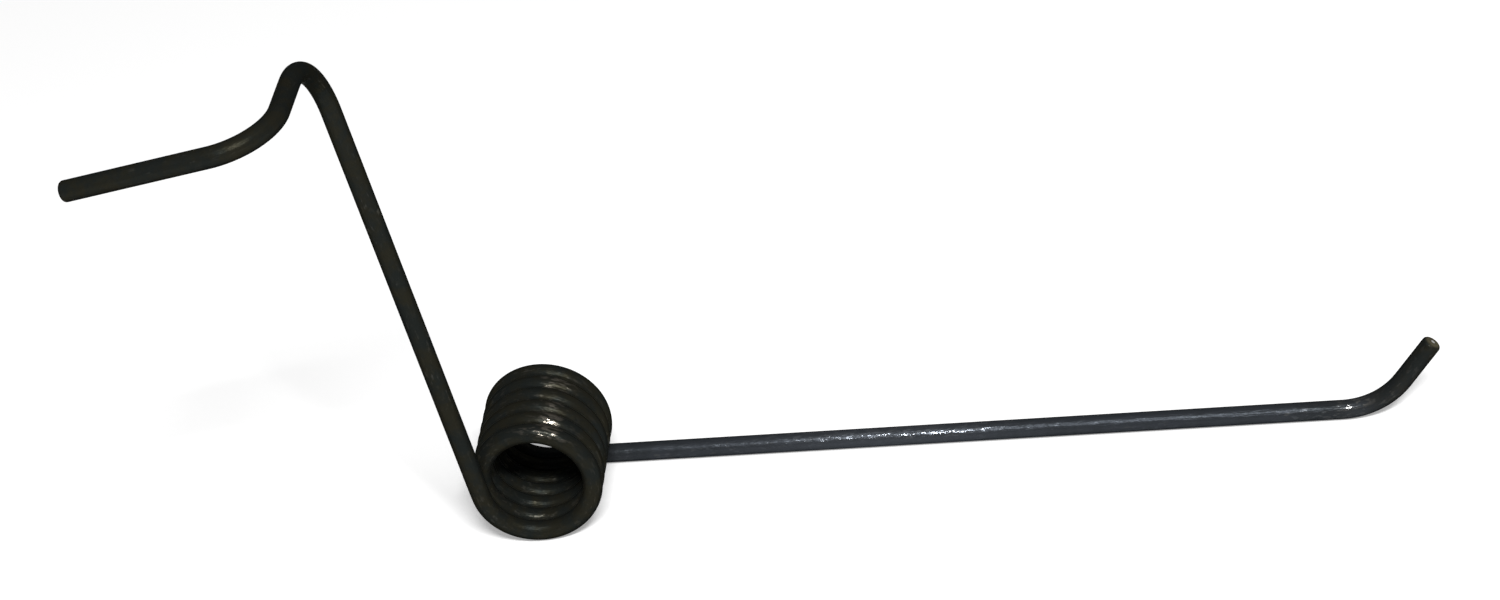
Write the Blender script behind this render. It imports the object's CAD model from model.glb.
from math import atan2, ceil, cos, pi, radians, sin, tan

import bmesh
import bpy
from mathutils import Euler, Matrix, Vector


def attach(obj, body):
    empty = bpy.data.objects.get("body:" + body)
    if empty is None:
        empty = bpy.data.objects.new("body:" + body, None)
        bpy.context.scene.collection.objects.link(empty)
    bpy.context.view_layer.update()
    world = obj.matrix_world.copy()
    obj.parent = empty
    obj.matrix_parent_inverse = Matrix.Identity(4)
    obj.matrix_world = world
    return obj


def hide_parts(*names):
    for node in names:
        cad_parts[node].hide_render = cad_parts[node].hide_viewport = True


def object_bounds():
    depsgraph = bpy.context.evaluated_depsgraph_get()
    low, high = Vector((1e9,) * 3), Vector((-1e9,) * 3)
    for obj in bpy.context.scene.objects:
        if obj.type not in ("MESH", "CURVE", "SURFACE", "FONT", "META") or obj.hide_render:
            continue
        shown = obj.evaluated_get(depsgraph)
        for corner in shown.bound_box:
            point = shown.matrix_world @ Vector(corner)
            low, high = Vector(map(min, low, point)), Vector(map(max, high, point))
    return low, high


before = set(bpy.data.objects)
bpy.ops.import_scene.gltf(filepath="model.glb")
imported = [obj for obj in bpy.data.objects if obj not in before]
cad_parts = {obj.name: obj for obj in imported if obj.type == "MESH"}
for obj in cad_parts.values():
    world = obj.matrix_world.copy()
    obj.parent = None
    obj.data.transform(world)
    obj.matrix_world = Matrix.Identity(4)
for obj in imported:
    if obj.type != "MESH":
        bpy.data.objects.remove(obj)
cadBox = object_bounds()
print("frame loaded")

# everything is in metres, and every angle in degrees
wire = {
    "diameter": 0.003,
    "coilInside": 0.0142,
    "turns": 6,
    "turnGap": 0.00015,
    "easing": 0.0015,  # how soon a leg straightens out of the winding's slope
    "longLeg": 0.129,
    "hook": 0.014,
    "hookAngle": 56.5,
    "hookBend": 0.011,
    "shortLeg": 0.081,
    "shortLegAngle": 98.5,
    "crank": 0.0275,
    "crankBend": 0.0115,
    "end": 0.0295,
    "endAngle": 190.0,
    "endBend": 0.0085,
    "tipRounding": 0.0006,
    "tipDome": 0.00004,
    "sides": 64,
    "stepsPerTurn": 112,
    "straightStep": 0.002,
    "tipSteps": 8,
    "domeSteps": 5,
    "weld": 0.000003,
}


def deselectAll():
    bpy.ops.object.select_all(action="DESELECT")


def makeActive(piece):
    deselectAll()
    piece.select_set(True)
    bpy.context.view_layer.objects.active = piece


def levelHeading(angle):
    # square to the coil axis, turned from +X towards +Z
    return Vector((cos(radians(angle)), 0, sin(radians(angle))))


def selectOpenRing(mesh, place):
    # the open end of the tube that is nearest to a place
    bpy.ops.mesh.select_mode(type="EDGE")
    bpy.ops.mesh.select_all(action="DESELECT")
    drawn = bmesh.from_edit_mesh(mesh)
    for edge in drawn.edges:
        if edge.is_boundary and (edge.verts[0].co - place).length < wire["diameter"]:
            edge.select_set(True)
    bmesh.update_edit_mesh(mesh)


def drawStraight(pen, length):
    steps = ceil(length / wire["straightStep"])
    for _ in range(steps):
        shift = pen["heading"] * length / steps
        bpy.ops.mesh.extrude_region_move(TRANSFORM_OT_translate={"value": shift})
        pen["at"] = pen["at"] + shift


def drawBend(pen, heading, radius):
    axis = pen["heading"].cross(heading).normalized()
    inward = axis.cross(pen["heading"])
    turn = pen["heading"].angle(heading)
    centre = pen["at"] + inward * radius
    steps = max(4, ceil(turn / (2 * pi) * wire["stepsPerTurn"]))
    bpy.ops.mesh.spin(steps=steps, angle=turn, center=centre, axis=-axis)
    pen["at"] = centre - axis.cross(heading) * radius
    pen["heading"] = heading


def closeTip(pen):
    # rounds the rim of the cut end, then domes its face a little
    rounding, dome = wire["tipRounding"], wire["tipDome"]
    radius = wire["diameter"] / 2
    profile = []
    for step in range(1, wire["tipSteps"] + 1):
        angle = pi / 2 * step / wire["tipSteps"]
        profile.append((radius - rounding + rounding * cos(angle), rounding * sin(angle)))
    flat = radius - rounding
    for step in range(wire["domeSteps"] - 1, 0, -1):
        share = step / wire["domeSteps"]
        profile.append((flat * share, rounding + dome * (1 - share**2)))
    size, height = radius, 0
    for newSize, newHeight in profile:
        shift = pen["heading"] * (newHeight - height)
        bpy.ops.mesh.extrude_region_move(TRANSFORM_OT_translate={"value": shift})
        pen["at"] = pen["at"] + shift
        factor = newSize / size
        bpy.ops.transform.resize(value=(factor, factor, factor), center_override=pen["at"])
        size, height = newSize, newHeight
    bpy.ops.mesh.edge_face_add()


def tipLength():
    return wire["tipRounding"] + wire["tipDome"]


def bendTangent(turn, radius):
    return radius * tan(radians(turn) / 2)


def drawCoil():
    pitch = wire["diameter"] + wire["turnGap"]
    radius = (wire["coilInside"] + wire["diameter"]) / 2
    winding = 360 * wire["turns"] + 180 - wire["shortLegAngle"]
    height = pitch * winding / 360
    slope = atan2(pitch, 2 * pi * radius)
    # the winding ends at the bottom of the coil, where the wire heads along +X
    startAngle = -90 - winding
    start = levelHeading(startAngle) * radius - Vector((0, height / 2, 0))
    end = levelHeading(-90) * radius + Vector((0, height / 2, 0))
    startHeading = levelHeading(startAngle + 90) * cos(slope) + Vector((0, sin(slope), 0))
    endHeading = levelHeading(0) * cos(slope) + Vector((0, sin(slope), 0))

    bpy.ops.mesh.primitive_circle_add(
        vertices=wire["sides"],
        radius=wire["diameter"] / 2,
        location=start,
        rotation=startHeading.to_track_quat("Z", "Y").to_euler(),
    )
    piece = bpy.context.object
    piece.name = "springWire"
    bpy.ops.object.transform_apply(location=True, rotation=True, scale=True)
    screw = piece.modifiers.new("winding", "SCREW")
    screw.axis = "Y"
    screw.angle = -radians(winding)
    screw.screw_offset = height
    screw.steps = screw.render_steps = ceil(winding / 360 * wire["stepsPerTurn"])
    bpy.ops.object.modifier_apply(modifier=screw.name)
    ends = {
        "near": {"at": start, "heading": -startHeading},
        "far": {"at": end, "heading": endHeading},
    }
    return piece, ends, slope


def drawLongLeg(pen, slope):
    selectOpenRing(bpy.context.object.data, pen["at"])
    drawBend(pen, levelHeading(0), wire["easing"] / tan(slope / 2))
    hookCut = bendTangent(wire["hookAngle"], wire["hookBend"])
    drawStraight(pen, wire["longLeg"] - 2 * wire["easing"] - hookCut)
    drawBend(pen, levelHeading(wire["hookAngle"]), wire["hookBend"])
    drawStraight(pen, wire["hook"] - hookCut - tipLength())
    closeTip(pen)


def drawShortLeg(pen, slope):
    selectOpenRing(bpy.context.object.data, pen["at"])
    drawBend(pen, levelHeading(wire["shortLegAngle"]), wire["easing"] / tan(slope / 2))
    crankCut = bendTangent(90, wire["crankBend"])
    endCut = bendTangent(90, wire["endBend"])
    drawStraight(pen, wire["shortLeg"] - 2 * wire["easing"] - crankCut)
    drawBend(pen, Vector((0, -1, 0)), wire["crankBend"])
    drawStraight(pen, wire["crank"] - crankCut - endCut)
    drawBend(pen, levelHeading(wire["endAngle"]), wire["endBend"])
    drawStraight(pen, wire["end"] - endCut - tipLength())
    closeTip(pen)


def ringCentre(ring):
    return sum((vert.co for vert in ring), Vector()) / len(ring)


def measureAlong(mesh):
    # walks the tube ring by ring from the short leg's tip, and writes where each
    # point would be if the wire were pulled straight, for patterns that follow it,
    # and how far its surface faces up, for wear that is on the upper side only
    tube = bmesh.new()
    tube.from_mesh(mesh)
    tube.normal_update()
    unbent = tube.verts.layers.float_vector.new("unbent")
    upward = tube.verts.layers.float.new("upward")
    caps = [face for face in tube.faces if len(face.verts) == wire["sides"]]
    firstCap = min(caps, key=lambda face: face.calc_center_median().x)
    ring, seen = list(firstCap.verts), set(firstCap.verts)
    centre = ringCentre(ring)
    along = 0
    while ring:
        newCentre = ringCentre(ring)
        along += (newCentre - centre).length
        centre = newCentre
        for number, vert in enumerate(ring):
            angle = 2 * pi * number / len(ring)
            out = (vert.co - centre).length
            vert[unbent] = (out * cos(angle), out * sin(angle), along)
            vert[upward] = vert.normal.z
        onward = []
        for vert in ring:
            for edge in vert.link_edges:
                other = edge.other_vert(vert)
                if other not in seen:
                    onward.append(other)
        seen.update(onward)
        ring = onward
    tube.to_mesh(mesh)
    tube.free()
    return along


def drawWire():
    deselectAll()
    piece, ends, slope = drawCoil()
    makeActive(piece)
    bpy.ops.object.mode_set(mode="EDIT")
    drawLongLeg(ends["far"], slope)
    drawShortLeg(ends["near"], slope)
    bpy.ops.mesh.select_all(action="SELECT")
    bpy.ops.mesh.remove_doubles(threshold=wire["weld"])
    bpy.ops.mesh.normals_make_consistent(inside=False)
    bpy.ops.object.mode_set(mode="OBJECT")
    bpy.ops.object.shade_smooth()
    length = measureAlong(piece.data)
    print(f"wire drawn, {length * 1000:.1f} mm long, {len(piece.data.polygons)} faces")
    return piece


springWire = drawWire()
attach(springWire, "root")
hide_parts("spring")


class Shade:
    # wraps one output of a node, so that sums on values add their own Math nodes
    def __init__(self, tree, output=None):
        self.tree = tree
        self.output = output

    def node(self, kind, settings, sockets, output=0):
        made = self.tree.nodes.new(kind)
        for name, value in settings.items():
            setattr(made, name, value)
        for name, value in sockets.items():
            if isinstance(value, Shade):
                self.tree.links.new(value.output, made.inputs[name])
            else:
                made.inputs[name].default_value = value
        return Shade(self.tree, made.outputs[output])

    def sum(self, operation, first, second):
        return self.node("ShaderNodeMath", {"operation": operation}, {0: first, 1: second})

    def __add__(self, other):
        return self.sum("ADD", self, other)

    def __radd__(self, other):
        return self.sum("ADD", other, self)

    def __sub__(self, other):
        return self.sum("SUBTRACT", self, other)

    def __rsub__(self, other):
        return self.sum("SUBTRACT", other, self)

    def __mul__(self, other):
        return self.sum("MULTIPLY", self, other)

    def __rmul__(self, other):
        return self.sum("MULTIPLY", other, self)


def noise(vector, scale, detail=2.0, rough=0.5):
    sockets = {"Vector": vector, "Scale": scale, "Detail": detail, "Roughness": rough}
    return vector.node("ShaderNodeTexNoise", {"normalize": True}, sockets)


def stretch(vector, share):
    # a share below 1 draws a pattern out along the wire
    sockets = {0: vector, 1: (1, 1, share)}
    return vector.node("ShaderNodeVectorMath", {"operation": "MULTIPLY"}, sockets)


def ramp(value, low, high):
    sockets = {"Value": value, "From Min": low, "From Max": high}
    return value.node("ShaderNodeMapRange", {"interpolation_type": "SMOOTHSTEP"}, sockets)


def blend(factor, first, second):
    # on the Mix node, 6 and 7 are its two colours and 2 is the mixed one
    sockets = {0: factor, 6: first, 7: second}
    return factor.node("ShaderNodeMix", {"data_type": "RGBA"}, sockets, output=2)


def bump(pattern, depth, under=None):
    sockets = {"Height": pattern, "Strength": 1.0, "Distance": depth}
    if under:
        sockets["Normal"] = under
    return pattern.node("ShaderNodeBump", {}, sockets)


finish = {
    "oxide": (0.0138, 0.0160, 0.0148, 1),
    "brown": (0.0185, 0.0178, 0.0125, 1),
    "blue": (0.033, 0.037, 0.043, 1),
    "pale": (0.044, 0.049, 0.057, 1),
    "worn": (0.15, 0.145, 0.13, 1),
    "bright": (0.23, 0.208, 0.175, 1),  # where the oxide is polished thin
    "brightBlue": (0.165, 0.180, 0.200, 1),
    "cut": (0.12, 0.108, 0.070, 1),
    "bare": (0.60, 0.60, 0.58, 1),
    "edgeTint": (0.06, 0.06, 0.06, 1),  # keeps the reflection low where the wire turns away
    "roughness": 0.36,
    "roughnessLoss": 0.26,  # where the wire glints
    "metallic": 0.35,
    "metallicGain": 0.55,
}

# noise patterns on the surface, as scale, how far they are drawn out along the wire,
# detail and roughness of the noise
patterns = {
    "patches": (45, 1, 2, 0.5),
    "mottle": (350, 1, 4, 0.6),
    "wave": (420, 1, 1, 0.5),
    "specks": (1300, 0.5, 3, 0.6),
    "sparkle": (1900, 0.4, 2, 0.5),
    "lines": (3000, 0.08, 2, 0.6),
}

# where each stretch lies along the wire, in metres from the short leg's tip
stretches = {
    "dullEnd": 0.125,
    "blueStart": 0.470,
    "blueEnd": 0.592,
    "fade": 0.020,
    "polished": (  # place, reach to either side and strength
        (0.0525, 0.006, 0.50),  # crank
        (0.1665, 0.005, 0.80),  # tops of four turns
        (0.2203, 0.003, 0.90),
        (0.2743, 0.003, 0.75),
        (0.3827, 0.004, 0.70),
        (0.5190, 0.032, 0.95),  # long leg
        (0.5920, 0.004, 0.70),  # start of the hook
    ),
}

# where a pattern or a measure starts to show and where it shows in full
edges = {
    "mottle": (0.35, 0.65),
    "patches": (0.35, 0.65),
    "wornPatches": (0.42, 0.62),
    "worn": (0.56, 0.66),
    "glint": (0.56, 0.66),
    "glintShift": (0.14, 0.10),  # how far polish brings those two down
    "upperSide": (0.2, 0.55),
    "cut": (0.0009, 0.0014),  # distance from the wire's middle, in metres
    "chip": (0.0002, 0.0004),
}

shares = {
    "speck": 0.6,  # of specks against drawing lines
    "blueBase": 0.5,
    "worn": 0.2,
    "cutBase": 0.4,
    "glintBase": 0.12,
    "glintPatches": 0.22,
    "glintPolished": 0.6,
    "sheenPolished": 0.2,
    "glintLost": 0.6,  # on the dull short leg
}

depths = {"grain": 0.000150, "wave": 0.000060}


def drawPatterns(unbent):
    drawn = {}
    for name, (scale, share, detail, rough) in patterns.items():
        vector = unbent if share == 1 else stretch(unbent, share)
        drawn[name] = noise(vector, scale, detail, rough)
    drawn["grain"] = drawn["specks"] * shares["speck"] + drawn["lines"] * (1 - shares["speck"])
    return drawn


def markStretches(along):
    def onset(place):
        return ramp(along, place - stretches["fade"], place + stretches["fade"])

    marks = {"short": 1 - onset(stretches["dullEnd"]), "long": onset(stretches["blueStart"])}
    marks["blue"] = marks["long"] - onset(stretches["blueEnd"])
    marks["polished"] = 0
    for place, reach, strength in stretches["polished"]:
        rise = ramp(along, place - reach, place)
        fall = 1 - ramp(along, place, place + reach)
        marks["polished"] = marks["polished"] + rise * fall * strength
    return marks


def markGlint(drawn, marks, upward):
    polished = marks["polished"] * ramp(upward, *edges["upperSide"])
    low, high = edges["glint"]
    lowShift, highShift = edges["glintShift"]
    glint = ramp(drawn["sparkle"], low - lowShift * polished, high - highShift * polished)
    strength = shares["glintBase"] + shares["glintPolished"] * polished
    strength = strength + shares["glintPatches"] * ramp(drawn["patches"], *edges["patches"])
    glint = glint * strength + shares["sheenPolished"] * polished
    return glint * (1 - shares["glintLost"] * marks["short"])


def mixColour(drawn, marks, glint, radius):
    # the surface comes nearer than its radius to the wire's middle at the cut ends only
    onCut = 1 - ramp(radius, *edges["cut"])
    onChip = (1 - ramp(radius, *edges["chip"])) * marks["long"]
    worn = ramp(drawn["grain"], *edges["worn"]) * ramp(drawn["patches"], *edges["wornPatches"])
    mottle = drawn["mottle"]
    bright = blend(marks["blue"], finish["bright"], finish["brightBlue"])

    colour = blend(ramp(mottle, *edges["mottle"]), finish["oxide"], finish["brown"])
    colour = blend(marks["blue"] * (shares["blueBase"] + mottle), colour, finish["blue"])
    colour = blend(marks["polished"] * marks["blue"], colour, finish["pale"])
    colour = blend(worn * shares["worn"], colour, finish["worn"])
    colour = blend(glint * glint, colour, bright)
    colour = blend(onCut * (shares["cutBase"] + mottle), colour, finish["cut"])
    return blend(onChip, colour, finish["bare"])


def makeOxide():
    paint = bpy.data.materials.new("blackOxideSteel")
    paint.use_nodes = True
    tree = paint.node_tree
    shader = tree.nodes["Principled BSDF"]
    pen = Shade(tree)

    unbent = pen.node("ShaderNodeAttribute", {"attribute_name": "unbent"}, {}, output=1)
    upward = pen.node("ShaderNodeAttribute", {"attribute_name": "upward"}, {}, output=2)
    along = pen.node("ShaderNodeSeparateXYZ", {}, {0: unbent}, output=2)
    flat = stretch(unbent, 0)
    radius = pen.node("ShaderNodeVectorMath", {"operation": "LENGTH"}, {0: flat}, output=1)

    drawn = drawPatterns(unbent)
    marks = markStretches(along)
    glint = markGlint(drawn, marks, upward)
    colour = mixColour(drawn, marks, glint, radius)
    metallic = finish["metallic"] + glint * finish["metallicGain"]
    roughness = finish["roughness"] - glint * finish["roughnessLoss"]
    normal = bump(drawn["grain"], depths["grain"], bump(drawn["wave"], depths["wave"]))

    tree.links.new(colour.output, shader.inputs["Base Color"])
    tree.links.new(metallic.output, shader.inputs["Metallic"])
    tree.links.new(roughness.output, shader.inputs["Roughness"])
    tree.links.new(normal.output, shader.inputs["Normal"])
    shader.inputs["Specular IOR Level"].default_value = 0.0
    shader.inputs["Specular Tint"].default_value = finish["edgeTint"]
    return paint


springWire.data.materials.append(makeOxide())
print("finish made")

floor = {
    "size": 6.0,
    "colour": (0.86, 0.86, 0.86, 1),
    "roughness": 0.9,
    "lift": (0.32, 0.32, 0.32, 1),  # seen by camera and reflections, on top of its colour
}

world = {"colour": (1, 1, 1, 1), "strength": 0.15}

lamps = {
    "key": {
        "place": (0.24, -0.72, 0.95),
        "aim": (0.04, 0.0, 0.02),
        "size": (0.42, 0.13),
        "power": 14.5,
    },
    "fill": {
        "place": (0.04, -0.6, 1.4),
        "aim": (0.04, 0.0, 0.02),
        "size": (1.6, 1.6),
        "power": 2.7,
    },
}

# the camera stands in front and above, as heading, tilt and roll
camera = {
    "place": (0.08176, -0.37133, 0.26843),
    "turn": 7.164,
    "down": 33.029,
    "roll": -7.619,
    "lens": 72.0,
    "sensor": 36.0,
    "nearest": 0.01,
}


def makeFloor():
    deselectAll()
    bpy.ops.mesh.primitive_plane_add(size=floor["size"], location=(0, 0, cadBox[0].z))
    plane = bpy.context.object
    plane.name = "floor"
    paint = bpy.data.materials.new("floorPaint")
    paint.use_nodes = True
    tree = paint.node_tree
    shader = tree.nodes["Principled BSDF"]
    shader.inputs["Base Color"].default_value = floor["colour"]
    shader.inputs["Roughness"].default_value = floor["roughness"]
    shader.inputs["Specular IOR Level"].default_value = 0.0
    shader.inputs["Emission Strength"].default_value = 1.0
    pen = Shade(tree)
    toCamera = pen.node("ShaderNodeLightPath", {}, {}, "Is Camera Ray")
    toGloss = pen.node("ShaderNodeLightPath", {}, {}, "Is Glossy Ray")
    throughGlass = pen.node("ShaderNodeLightPath", {}, {}, "Is Transmission Ray")
    seen = blend(toCamera + toGloss + throughGlass, (0, 0, 0, 1), floor["lift"])
    tree.links.new(seen.output, shader.inputs["Emission Color"])
    plane.data.materials.append(paint)


def makeLamp(name, settings):
    light = bpy.data.lights.new(name, "AREA")
    light.shape = "RECTANGLE"
    light.size, light.size_y = settings["size"]
    light.energy = settings["power"]
    holder = bpy.data.objects.new(name, light)
    bpy.context.collection.objects.link(holder)
    holder.location = settings["place"]
    towards = Vector(settings["aim"]) - Vector(settings["place"])
    holder.rotation_euler = towards.to_track_quat("-Z", "Y").to_euler()


def makeWorld():
    surroundings = bpy.context.scene.world or bpy.data.worlds.new("studio")
    bpy.context.scene.world = surroundings
    surroundings.use_nodes = True
    sky = surroundings.node_tree.nodes["Background"]
    sky.inputs["Color"].default_value = world["colour"]
    sky.inputs["Strength"].default_value = world["strength"]


def makeCamera():
    lens = bpy.data.cameras.new("camera")
    lens.lens = camera["lens"]
    lens.sensor_width = camera["sensor"]
    lens.clip_start = camera["nearest"]
    view = bpy.data.objects.new("camera", lens)
    bpy.context.collection.objects.link(view)
    view.location = camera["place"]
    view.rotation_euler = Euler((radians(90 - camera["down"]), 0, radians(camera["turn"])))
    view.rotation_euler.rotate_axis("Z", radians(camera["roll"]))
    bpy.context.scene.camera = view


makeFloor()
for name, settings in lamps.items():
    makeLamp(name, settings)
makeWorld()
makeCamera()
bpy.context.scene.view_settings.view_transform = "Standard"
print("studio set")
